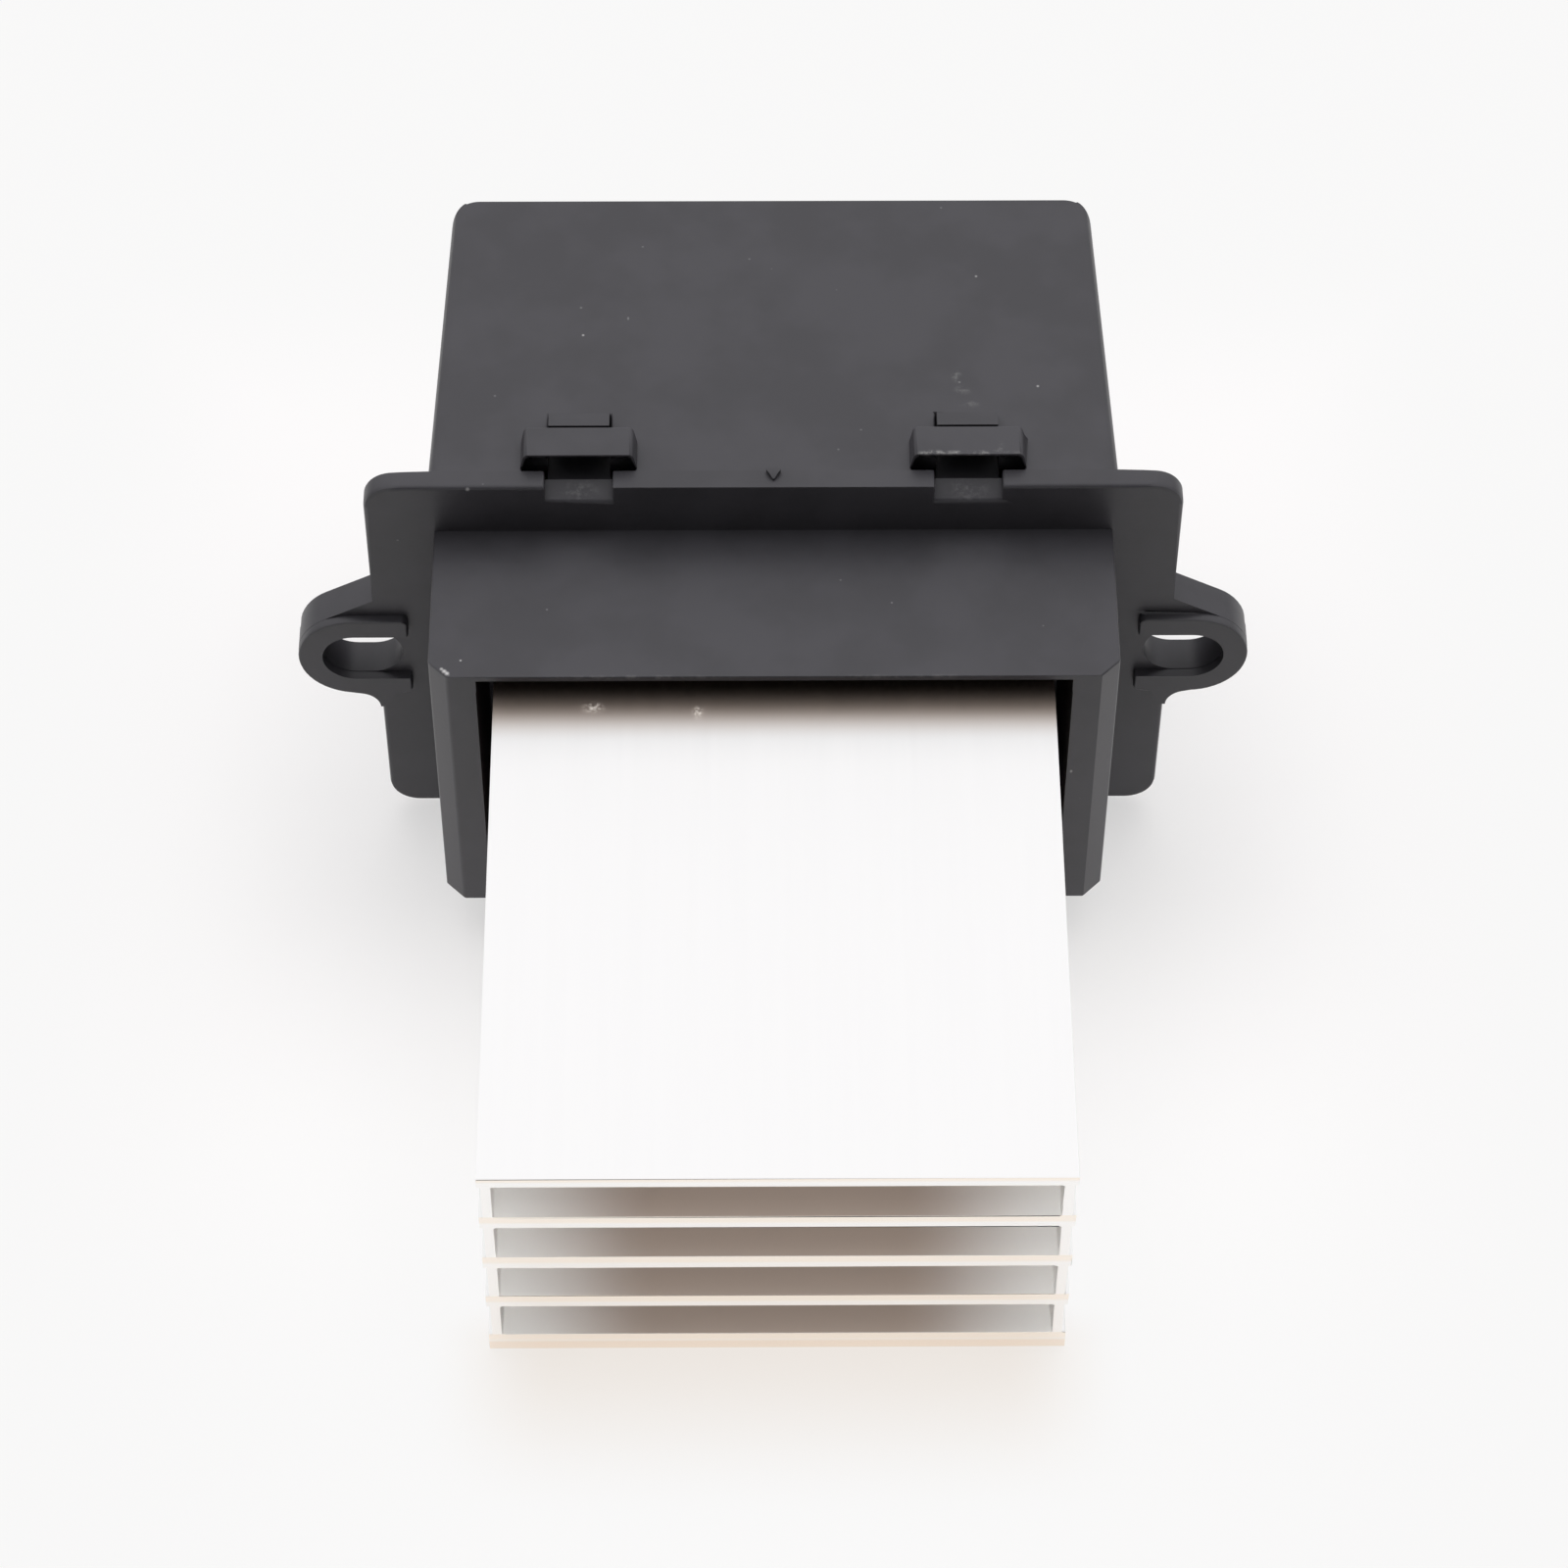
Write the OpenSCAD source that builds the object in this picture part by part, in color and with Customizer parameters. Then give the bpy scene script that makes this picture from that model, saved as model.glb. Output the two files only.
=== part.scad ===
// Blower motor resistor: a finned heat sink in a moulded frame, with a clipped rear cover.
// X runs to the right, Y from the fins back to the plug socket, Z up.
// The origin lies midway between the two fixing slots, on the front faces of their pads.

/* [Heat sink] */
// Width of the fins
sink_w = 50; // [44:0.5:60]
// Thickness of the inner fins
fin_t = 1.7; // [1.2:0.1:2]
// Thickness of the top plate that carries the transistors
top_t = 1.2; // [1:0.1:2]
// Thickness of the bottom plate
base_t = 2.4; // [1.2:0.1:3]
// Clear height between two fins
channel_h = 4.6; // [4:0.05:6]
// Number of fins
fin_count = 5; // [4:1:6]
// Thickness of the two side walls that join the fins
sink_wall = 0.9; // [0.8:0.1:2]
// How far the fin ends stand out past the side walls
fin_lip = 0.3; // [0.2:0.1:0.6]
// Fillet in the corners of the channels
channel_r = 0.2; // [0.1:0.1:1]
// Length of the heat sink in front of the collar
sink_reach = 50.6; // [35:0.1:70]
// Height of the heat sink's middle above the fixing slots
sink_rise = 0.6; // [0:0.1:1.5]

/* [Collar] */
// Depth of the collar in front of the flange
collar_depth = 16.9; // [10:0.1:22]
// Thickness of the collar's side walls
collar_side = 4.2; // [3:0.1:5]
// Thickness of the collar's top and bottom walls
collar_wall = 1.8; // [1.4:0.1:2.6]
// Gap between the collar's side walls and the fin ends
gap_side = 1.5; // [0.8:0.1:2.5]
// Gap between the collar's top wall and the top fin
gap_top = 1.3; // [0.8:0.1:2.5]
// Chamfer on the collar's upright front edges
collar_chamfer = 1.7; // [1:0.1:2.2]
// Lead-in chamfer inside the mouth's top and bottom walls
collar_lead = 1.2; // [0.6:0.1:1.3]
// Corner radius of the collar's mouth
mouth_r = 0.5; // [0.3:0.1:2]
// How far the web round the heat sink stands in front of the flange
web_front = 2; // [1:0.1:4]

/* [Flange] */
// Thickness of the flange
flange_t = 2; // [1.6:0.1:3]
// How far the flange stands out past the rear cover's sides
flange_rim = 5.8; // [4.5:0.1:9]
// How far the flange stands out above and below the collar
flange_margin = 6.5; // [6:0.1:10]
// Corner radius of the flange
flange_r = 2.8; // [1.5:0.1:4]
// Width of the gate stub on the flange's top edge
gate_w = 1.5; // [1:0.1:2]
// Reach of the gate stub towards the front
gate_reach = 1.2; // [0.6:0.1:1.4]
// Height of the gate stub
gate_h = 0.45; // [0.2:0.05:0.6]

/* [Ears] */
// Distance of the slot's middle past the flange's edge
ear_reach = 1.3; // [1:0.1:4]
// Length of the fixing slot from end to end
slot_len = 7.4; // [6.8:0.1:10]
// Width of the fixing slot
slot_w = 6; // [4:0.1:6.4]
// Wall round the fixing slot
ring_wall = 2.3; // [1.6:0.1:3.5]
// How far the pad round the slot stands in front of the flange
pad_proud = 0.9; // [0.4:0.1:2]
// How far the ear stands behind the flange
ear_back = 1.5; // [0.4:0.1:2.5]
// Step in the ear's outline at its two parting lines
parting_step = 0.05; // [0.03:0.01:0.3]
// Slope of the gusset above the slot, in degrees
gusset_slope = 30; // [20:1:45]
// Fillet under the ear
ear_fillet = 2; // [1:0.1:2.5]
// Rounding of the pad's two inner ends
pad_end_r = 0.7; // [0.3:0.1:1]

/* [Rear cover] */
// Depth of the rear cover behind the flange
cover_depth = 33.7; // [32:0.1:45]
// How far the cover's open end stands out past the collar's sides
cover_margin = 0.4; // [0:0.1:2]
// Draft of the cover's sides, in degrees
cover_draft = 2.1; // [1:0.1:2.5]
// Wall thickness of the cover
cover_wall = 1.6; // [1.2:0.1:2.2]
// Step from the flange's edge down to the cover's top
cover_step = 0.2; // [0.1:0.05:0.6]
// Radius of the cover's rear corners, seen from above
cover_corner_r = 2.6; // [1.5:0.1:4]
// Fillet along the cover's four long edges
cover_edge_r = 1.3; // [0.5:0.1:1.5]
// Length of the rim that centres the cover
rim_len = 3; // [2:0.1:5]
// Wall of that rim
rim_wall = 1.2; // [1:0.1:1.8]

/* [Snaps] */
// Distance between the two tongues on a side
snap_pitch = 35; // [28:0.5:38]
// Width of a tongue
tongue_w = 5.7; // [4.5:0.1:6.5]
// Thickness of a tongue
tongue_t = 1.5; // [1.2:0.1:1.8]
// Rise of the ramp in front of a tongue, within its notch
ramp_rise = 0.8; // [0.3:0.1:1.2]
// Width of the barb on a tongue
barb_w = 5.2; // [4:0.1:5.6]
// Length of the barb's flat top
barb_len = 1.5; // [1:0.1:2]
// Length of the barb's ramp
barb_ramp = 1.3; // [1:0.1:2]
// Overlap of the barb behind the loop
barb_hold = 0.8; // [0.4:0.1:0.9]
// Height of the barb's end above the cover
barb_toe = 0.2; // [0.1:0.05:0.4]
// Width of a loop at its foot
loop_w = 10.7; // [10:0.1:12]
// How far a loop's sides lean in towards its top
loop_lean = 0.4; // [0.2:0.05:0.8]
// Bevel on a loop's top edges
loop_bevel = 0.3; // [0.2:0.1:0.6]
// Height of a loop above the cover
loop_h = 1.9; // [1.6:0.1:2.5]
// Length of a loop from front to back
loop_len = 3.4; // [2.6:0.1:5]
// Thickness of a loop's bridge
loop_t = 0.9; // [0.7:0.1:1.1]
// Depth of the wide mouth at a loop's front
loop_mouth = 1.3; // [0.6:0.1:1.6]
// Wall left round that mouth
loop_lip = 0.2; // [0.15:0.05:0.5]
// Gap between the flange and a loop
loop_gap = 0.4; // [0.2:0.1:1]

/* [Plug socket] */
// Inside width of the socket
socket_w = 28; // [27:0.5:34]
// Inside height of the socket
socket_h = 12; // [11.5:0.5:14]
// Wall of the socket
socket_wall = 1.5; // [1.2:0.1:2]
// Corner radius inside the socket
socket_r = 1; // [0.5:0.1:2]
// Height of the socket's middle above the fixing slots
socket_z = -6; // [-7:0.5:-4]
// Width of the latch nib in the socket's roof
nib_w = 5; // [3:0.5:8]
// Height of the latch nib
nib_h = 1; // [0.6:0.1:1.2]
// Width of the two polarising ribs on the socket's floor
key_w = 1.2; // [0.8:0.1:2]
// Distance between the polarising ribs
key_pitch = 13; // [10:0.5:16]

/* [Terminals] */
// Width of a power blade
power_w = 6.3; // [4.8:0.1:6.5]
// Width of a signal blade
signal_w = 2.8; // [2:0.1:3]
// Thickness of the blades
blade_t = 0.8; // [0.5:0.1:1]
// Gap between a power blade and the socket's side wall
blade_side = 0.85; // [0.7:0.05:1.2]
// Distance between the signal blades
signal_pitch = 4.8; // [4.4:0.1:5.4]
// How far the blades end short of the socket's mouth
blade_short = 2.6; // [1.5:0.1:4]
// Shoulder of a blade on each side
shoulder_w = 0.6; // [0.3:0.1:0.8]
// Length of a blade's shoulder
shoulder_len = 0.8; // [0.6:0.1:0.9]

/* [Circuit board] */
// Distance of the board behind the flange
board_gap = 18.5; // [17.5:0.1:20]
// Thickness of the board
board_t = 1.6; // [1:0.1:2]
// Distance of the board's screws from its edges
board_inset = 2.8; // [2.5:0.1:3.4]
// Distance of the board's edge from the cover's side walls
board_side = 1.7; // [1:0.1:3]
// Corner radius of the board
board_r = 1; // [0.5:0.1:2]
// Radius of the posts that carry the board
post_r = 2.6; // [2.2:0.1:2.8]
// Height of the parts' places on the board above the socket
parts_rise = 7; // [6.5:0.5:8]

/* [Transistors] */
// Distance between the two transistors
transistor_pitch = 18; // [16:0.5:22]
// Width of a transistor
transistor_w = 10; // [9:0.1:10.5]
// Length of a transistor's metal tab
tab_len = 6.3; // [6:0.1:7]
// Length of a transistor's moulded body
body_len = 9.2; // [8:0.1:9.4]
// Height of a transistor's body over the tab's underside
body_h = 4.5; // [4:0.1:4.8]
// Thickness of a transistor's tab
tab_t = 1.3; // [1:0.1:1.5]
// Distance between a transistor's leads
lead_pitch = 2.54; // [2.2:0.02:2.8]
// Thickness of the insulating pads
pad_t = 0.2; // [0.1:0.05:0.4]

/* [Screws] */
// Diameter of the transistor screws
tab_screw_d = 3; // [2.5:0.1:3.2]
// Diameter of the screws that hold the heat sink and the board
tap_screw_d = 2.5; // [2.2:0.1:2.6]
// Height of the screw heads
head_h = 1.6; // [1.2:0.1:1.8]
// Diameter of the screw heads
head_d = 5; // [4.4:0.1:5.2]

/* [Fits] */
// Clearance of the heat sink in the web
sink_fit = 0.15; // [0.05:0.05:0.3]
// Clearance of the cover over the rim and the tongues
cover_fit = 0.15; // [0.05:0.05:0.3]
// Clearance of a barb and a tongue in the cover's wall
snap_fit = 0.2; // [0.1:0.05:0.3]
// Clearance of leads and blades in their holes
pin_fit = 0.1; // [0.05:0.01:0.15]
// Clearance of screws in their holes
screw_fit = 0.2; // [0.1:0.05:0.3]

/* [Hidden] */
$fn = 48;
// Overlap of cuts and joints within one piece
over = 0.5;

// Heights and widths that follow from the heat sink
sink_h = base_t + (fin_count - 2) * fin_t + top_t + (fin_count - 1) * channel_h;
sink_top = sink_rise + sink_h / 2;
sink_bottom = sink_rise - sink_h / 2;
collar_w = sink_w + 2 * (gap_side + collar_side);
collar_h = sink_h + 2 * (gap_top + collar_wall);
cover_w = collar_w + 2 * cover_margin;
flange_w = cover_w + 2 * flange_rim;
flange_h = collar_h + 2 * flange_margin;

// Places along Y
flange_y = pad_proud;
flange_back = flange_y + flange_t;
collar_y = flange_y - collar_depth;
sink_y = collar_y - sink_reach;
cover_back = flange_back + cover_depth;
board_y = flange_back + board_gap;
board_back = board_y + board_t;
tail_gap = 1.5;
sink_tail = board_y - tail_gap;
socket_y = board_back + shoulder_len + pin_fit;

// Ears
slot_x = flange_w / 2 + ear_reach;
slot_end = slot_x + (slot_len - slot_w) / 2;
ring_r = slot_w / 2 + ring_wall;
pad_in = slot_x - slot_len / 2 - pad_end_r;
fillet_r = min(ear_fillet, slot_end - flange_w / 2);
ear_root = flange_w / 2 - ring_r / 2;
gusset_z = (ring_r + (slot_end - flange_w / 2) * sin(gusset_slope)) / cos(gusset_slope);

// Rear cover
cover_top = flange_h / 2 - cover_step;
cover_in = cover_top - cover_wall;
function cover_half(y) = cover_w / 2 - (y - flange_back) * tan(cover_draft);
function cover_in_half(y) = cover_half(y) - cover_wall / cos(cover_draft);
rim_x = cover_in_half(flange_back + rim_len) - cover_fit;
rim_z = cover_in - cover_fit;

// Snaps
notch_w = tongue_w + 2 * snap_fit;
loop_y = flange_back + loop_gap;
loop_back = loop_y + loop_len;
loop_in = cover_top + loop_h - loop_t;
barb_y = loop_back + snap_fit;
barb_top = loop_in + barb_hold;
tongue_end = barb_y + barb_len + barb_ramp;
snap_sides = [for (sx = [-1, 1], sz = [-1, 1]) [sx, sz]];

// Plug blades
power_pitch = socket_w - power_w - 2 * blade_side;

// Board and posts
board_half = cover_in_half(board_back) - board_side;
post_x = board_half - board_inset;
post_top = (sink_top + cover_in) / 2;
post_bottom = (sink_bottom - cover_in) / 2;
post_places = [for (sx = [-1, 1], z = [post_top, post_bottom]) [sx * post_x, z]];
board_top = post_top + board_inset;
board_bottom = post_bottom - board_inset;
parts_z = socket_z + socket_h / 2 + socket_wall + parts_rise;

// Transistors on the top fin
tab_y = flange_back + over;
tab_z = sink_top + pad_t;
tab_hole_y = tab_y + 0.45 * tab_len;
lead_rise = 1.1;
lead_z = tab_z + tab_t + lead_rise;
lead_stub = 1.2;
lead_end = board_back + lead_stub;
lead_w = 0.75;
lead_t = 0.5;
lead_hole = 1.1;
body_bevel = 0.4;
nut_h = 2.4;

// Thermal cutoff between the transistors
cutoff_w = 5;
cutoff_len = 8;
cutoff_h = 2.4;
cutoff_lead = 0.7;
cutoff_pitch = 2.5;
cutoff_gap = 4;
cutoff_y = board_y - cutoff_gap - cutoff_len;

// Heat sink screws, in the channel between the second and the third fin
lug_x = sink_w / 2 + sink_fit;
lug_out = rim_x - rim_wall + over;
lug_len = 11;
lug_z = sink_top - top_t - fin_t - 1.5 * channel_h;
lug_h = 8;
lug_y = flange_back + lug_len - lug_h / 2;
lug_head = head_h + pin_fit;

// Screws
recess_w = 0.7;
board_screw_len = 6;
pilot_spare = 2;
pilot_len = board_screw_len + pilot_spare;

// Sizes of the parts on the board
pin_stub = 0.8;
cap_d = 8;
cap_len = 11.4;
cap_x = board_half / 2;
cap_pitch = 3.5;
shunt_x = -board_half / 2;
shunt_len = 11;
shunt_w = 4;
shunt_h = 3.2;
shunt_t = 0.8;
chip_l = 5;
chip_w = 4;
chip_h = 1.5;
diode_l = 4.6;
diode_w = 3.6;
diode_h = 2.3;
foot_len = 1;
chip_leads = 4;
diode_leads = 1;
resistor_count = 4;
ceramic_count = 3;
small_l = 1.8;
foot_t = 0.25;
diode_x = -(board_half + socket_w / 2 + socket_wall) / 2;

plastic = "#3b3b3d";
metal = "#dcdddf";
tin = "#c9c6bd";
board_green = "#2c6a3c";
black = "#1d1d1f";

// Extrudes a shape drawn in X and Z from y0 to y1
module along_y(y0, y1) {
    translate([0, y1, 0]) rotate([90, 0, 0]) linear_extrude(height = y1 - y0) children();
}

// Extrudes a shape drawn in Y and Z over a width that is centred on x
module along_x(x, w) {
    translate([x - w / 2, 0, 0]) rotate([90, 0, 90]) linear_extrude(height = w) children();
}

// Rectangle with round corners
module rect_2d(w, h, r) {
    square([w - 2 * r, h], center = true);
    square([w, h - 2 * r], center = true);
    for (sx = [-1, 1], sy = [-1, 1])
        translate([sx * (w / 2 - r), sy * (h / 2 - r)]) circle(r);
}

// Slot with round ends, lying along X
module slot_2d(length, width) {
    square([length - width, width], center = true);
    for (s = [-1, 1])
        translate([s * (length - width) / 2, 0]) circle(d = width);
}

// Pan head screw with a cross recess that points down, its head's underside at z = 0
module pan_screw(d, length) {
    difference() {
        union() {
            cylinder(d = head_d, h = head_h);
            translate([0, 0, -length]) cylinder(d = d, h = length + over);
        }
        for (a = [0, 90])
            rotate([0, 0, a]) translate([-head_d / 4, -recess_w / 2, head_h / 2])
                cube([head_d / 2, recess_w, head_h]);
    }
}

// Outline of an ear on the right side, set in from its edges
module ear_2d(inset) {
    r = ring_r - inset;
    lean = 90 - gusset_slope;
    polygon([
        [ear_root, -r], [slot_end, -r], [slot_end, 0], [slot_end + r * cos(lean), r * sin(lean)],
        [flange_w / 2, gusset_z - inset / sin(lean)], [ear_root, gusset_z - inset / sin(lean)]
    ]);
    translate([slot_end, 0]) circle(r);
}

// Fillet between the ear's underside and the flange's edge
module ear_fillet_2d() {
    edge = flange_w / 2;
    difference() {
        translate([edge - over, -ring_r - fillet_r]) square([fillet_r + over, fillet_r + over]);
        translate([edge + fillet_r, -ring_r - fillet_r]) circle(fillet_r);
    }
}

// Outline of the flange with its ears, slots and the notches over the tongues
module flange_2d() {
    difference() {
        union() {
            rect_2d(flange_w, flange_h, flange_r);
            for (s = [0, 1])
                mirror([s, 0]) {
                    ear_2d(0);
                    ear_fillet_2d();
                }
        }
        for (s = [-1, 1])
            translate([s * slot_x, 0]) slot_2d(slot_len, slot_w);
        for (s = snap_sides)
            translate([s.x * snap_pitch / 2 - notch_w / 2, s.y > 0 ? rim_z : -rim_z - flange_h])
                square([notch_w, flange_h]);
    }
}

// Foot of a pad's lower arm, which carries the ear's fillet forward
module pad_foot_2d(r) {
    edge = flange_w / 2 + parting_step;
    difference() {
        polygon([
            [pad_in + 2 * pad_end_r, pad_end_r - r], [edge + fillet_r, pad_end_r - r],
            [edge + fillet_r, -r - fillet_r], [edge - pad_end_r, -r - fillet_r]
        ]);
        translate([edge + fillet_r, -r - fillet_r]) circle(fillet_r);
    }
}

// Pad round a slot: a horseshoe that opens towards the collar
module pad_2d() {
    r = ring_r - parting_step;
    gap = slot_w + 2 * parting_step;
    arm = slot_end - pad_in;
    difference() {
        union() {
            pad_foot_2d(r);
            translate([slot_end, 0]) circle(r);
            translate([pad_in + pad_end_r, -r]) square([arm - pad_end_r, 2 * r]);
            translate([pad_in, pad_end_r - r]) square([arm, 2 * (r - pad_end_r)]);
            for (sz = [-1, 1])
                translate([pad_in + pad_end_r, sz * (r - pad_end_r)]) circle(pad_end_r);
        }
        translate([slot_end, 0]) circle(d = gap);
        translate([pad_in - over, -gap / 2]) square([arm + over, gap]);
    }
}

// Gate stub on the flange's top edge: three-sided, and falling away to the front
module gate_stub() {
    rear = flange_back - pin_fit;
    base = flange_h / 2 - parting_step;
    intersection() {
        translate([0, 0, base])
            linear_extrude(height = gate_h + parting_step)
                polygon([[-gate_w / 2, rear], [0, rear - gate_reach], [gate_w / 2, rear]]);
        along_x(0, gate_w + over)
            polygon([
                [rear + over, base - over], [rear + over, base + gate_h + parting_step + over],
                [rear - gate_reach / 2, base + gate_h + parting_step],
                [rear - gate_reach - over, base], [rear - gate_reach - over, base - over]
            ]);
    }
}

// Flange with its ears, gate stub, pads and rear layers
module flange() {
    along_y(flange_y, flange_back) flange_2d();
    gate_stub();
    for (s = [0, 1])
        mirror([s, 0, 0]) {
            along_y(0, flange_y) pad_2d();
            along_y(flange_back, flange_back + ear_back)
                difference() {
                    ear_2d(parting_step);
                    translate([slot_x, 0]) slot_2d(slot_len + 2 * parting_step, slot_w + 2 * parting_step);
                }
        }
}

// Outside of the collar, with its upright front edges chamfered
module collar_block() {
    half = collar_w / 2;
    translate([0, 0, sink_rise])
        linear_extrude(height = collar_h, center = true)
            polygon([
                [-half, flange_y + over], [half, flange_y + over], [half, collar_y + collar_chamfer],
                [half - collar_chamfer, collar_y], [collar_chamfer - half, collar_y],
                [-half, collar_y + collar_chamfer]
            ]);
}

// Mouth of the collar, with a lead-in along its top and bottom walls
module collar_mouth() {
    mouth_w = sink_w + 2 * gap_side;
    mouth_h = sink_h + 2 * gap_top;
    translate([0, 0, sink_rise]) {
        along_y(collar_y - over, flange_y - web_front) rect_2d(mouth_w, mouth_h, mouth_r);
        along_x(0, mouth_w - 2 * parting_step)
            polygon([
                [collar_y - over, -mouth_h / 2 - collar_lead - over],
                [collar_y + collar_lead + over, -mouth_h / 2 + over],
                [collar_y + collar_lead + over, mouth_h / 2 - over],
                [collar_y - over, mouth_h / 2 + collar_lead + over]
            ]);
    }
}

// Rim behind the flange that centres the cover, open round each tongue
module cover_rim() {
    opening = loop_w;
    difference() {
        along_y(flange_back - over, flange_back + rim_len)
            difference() {
                square([2 * rim_x, 2 * rim_z], center = true);
                square(2 * [rim_x - rim_wall, rim_z - rim_wall], center = true);
            }
        for (s = snap_sides)
            translate([s.x * snap_pitch / 2 - opening / 2, flange_back,
                       s.y > 0 ? rim_z - 2 * rim_wall : -rim_z - rim_wall])
                cube([opening, rim_len + over, 3 * rim_wall]);
    }
}

// Tongue on the right side of the top edge, with the ramp in its notch and its barb
module tongue() {
    along_x(snap_pitch / 2, tongue_w)
        polygon([
            [flange_y + over, rim_z - tongue_t], [tongue_end - tongue_t / 2, rim_z - tongue_t],
            [tongue_end, rim_z - tongue_t / 2], [tongue_end, rim_z], [flange_y + over, rim_z]
        ]);
    along_x(snap_pitch / 2, notch_w + over)
        polygon([
            [flange_y, rim_z - over], [flange_back, rim_z - over],
            [flange_back, rim_z + ramp_rise], [flange_y, rim_z]
        ]);
    along_x(snap_pitch / 2, barb_w)
        polygon([
            [barb_y, rim_z - over], [tongue_end, rim_z - over], [tongue_end, cover_top + barb_toe],
            [barb_y + barb_len, barb_top], [barb_y, barb_top]
        ]);
}

// Lug on the right side that the heat sink is screwed to
module heat_sink_lug() {
    difference() {
        translate([lug_x, flange_back - over, lug_z - lug_h / 2])
            cube([lug_out - lug_x, lug_len + over, lug_h]);
        translate([0, lug_y, lug_z]) rotate([0, 90, 0]) {
            cylinder(d = tap_screw_d + 2 * screw_fit, h = flange_w);
            translate([0, 0, lug_out - lug_head]) cylinder(d = head_d + 2 * screw_fit, h = flange_w);
        }
    }
}

module front_frame() {
    color(plastic)
        difference() {
            union() {
                flange();
                collar_block();
                for (s = [0, 1])
                    mirror([s, 0, 0]) heat_sink_lug();
                cover_rim();
                for (sx = [0, 1], sz = [0, 1])
                    mirror([sx, 0, 0]) mirror([0, 0, sz]) tongue();
                for (p = post_places)
                    translate([p.x, flange_back - over, p.y]) rotate([-90, 0, 0])
                        cylinder(r = post_r, h = board_gap + over);
            }
            collar_mouth();
            // Hole for the heat sink
            translate([0, 0, sink_rise])
                along_y(flange_y - web_front - over, flange_back + over)
                    square([sink_w + 2 * sink_fit, sink_h + 2 * sink_fit], center = true);
            // Pilot holes for the board's screws
            for (p = post_places)
                translate([p.x, board_y - pilot_len, p.y]) rotate([-90, 0, 0])
                    cylinder(d = tap_screw_d, h = pilot_len + over);
        }
}

// Plan of the cover, with round rear corners
module cover_plan() {
    r = cover_corner_r;
    corner_x = cover_half(cover_back - r) - r / cos(cover_draft);
    side_x = corner_x + r * cos(cover_draft);
    side_y = cover_back - r + r * sin(cover_draft);
    front_x = cover_half(flange_back);
    polygon([
        [-front_x, flange_back], [front_x, flange_back], [side_x, side_y], [corner_x, cover_back],
        [-corner_x, cover_back], [-side_x, side_y]
    ]);
    for (s = [-1, 1])
        translate([s * corner_x, cover_back - r]) circle(r);
}

// Plan of the cover set in from its sides, from y0 to y1
module tapered_plan(inset, y0, y1) {
    x0 = cover_half(y0) - inset / cos(cover_draft);
    x1 = cover_half(y1) - inset / cos(cover_draft);
    polygon([[-x0, y0], [x0, y0], [x1, y1], [-x1, y1]]);
}

// Outside of the cover: drafted sides, with a fillet along each long edge
module cover_block() {
    r = cover_edge_r;
    y0 = flange_back - over;
    y1 = cover_back + over;
    intersection() {
        linear_extrude(height = 2 * cover_top, center = true) cover_plan();
        union() {
            linear_extrude(height = 2 * (cover_top - r), center = true) tapered_plan(0, y0, y1);
            linear_extrude(height = 2 * cover_top, center = true) tapered_plan(r, y0, y1);
            for (sx = [-1, 1], sz = [-1, 1])
                translate([sx * (cover_half(y0) - r / cos(cover_draft)), y0, sz * (cover_top - r)])
                    rotate([0, 0, sx * cover_draft]) rotate([-90, 0, 0])
                        cylinder(r = r, h = (y1 - y0) / cos(cover_draft));
        }
    }
}

// Outline of the loop on the right side of the top, set in from its sides and its top
module loop_2d(inset, foot) {
    wide = loop_w / 2 - inset;
    slim = wide - loop_lean;
    top = cover_top + loop_h - inset;
    translate([snap_pitch / 2, 0])
        polygon([
            [-wide, foot], [wide, foot], [slim, top - loop_bevel], [slim - loop_bevel, top],
            [loop_bevel - slim, top], [-slim, top - loop_bevel]
        ]);
}

// Passage under that loop with its wide mouth, and the slot in the wall that the barb slides along
module loop_passage() {
    mouth_w = loop_w - 2 * loop_lip;
    slot_width = barb_w + 2 * snap_fit;
    mouth_end = loop_y + loop_mouth;
    along_y(loop_y - over, mouth_end) loop_2d(loop_lip, cover_top);
    translate([snap_pitch / 2 - mouth_w / 2, flange_back - over, cover_in - over])
        cube([mouth_w, mouth_end - flange_back + over, cover_wall + over]);
    along_y(loop_y, loop_back + over) loop_2d(loop_t, cover_top);
    translate([snap_pitch / 2 - slot_width / 2, flange_back - over, cover_in - over])
        cube([slot_width, tongue_end + snap_fit / 2 - flange_back + over, cover_wall + 2 * over]);
}

// Latch nib in the socket's roof and polarising ribs on its floor
module socket_keys() {
    roof = socket_z + socket_h / 2;
    base = socket_z - socket_h / 2;
    along_x(0, nib_w)
        polygon([
            [cover_back - nib_w, roof + over], [cover_back - nib_w, roof - nib_h],
            [cover_back - nib_w + nib_h, roof - nib_h], [cover_back - nib_w + 3 * nib_h, roof],
            [cover_back - nib_w + 3 * nib_h, roof + over]
        ]);
    for (s = [-1, 1])
        translate([s * key_pitch / 2 - key_w / 2, socket_y, base - over])
            cube([key_w, cover_back - key_w - socket_y, key_w + over]);
}

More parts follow.
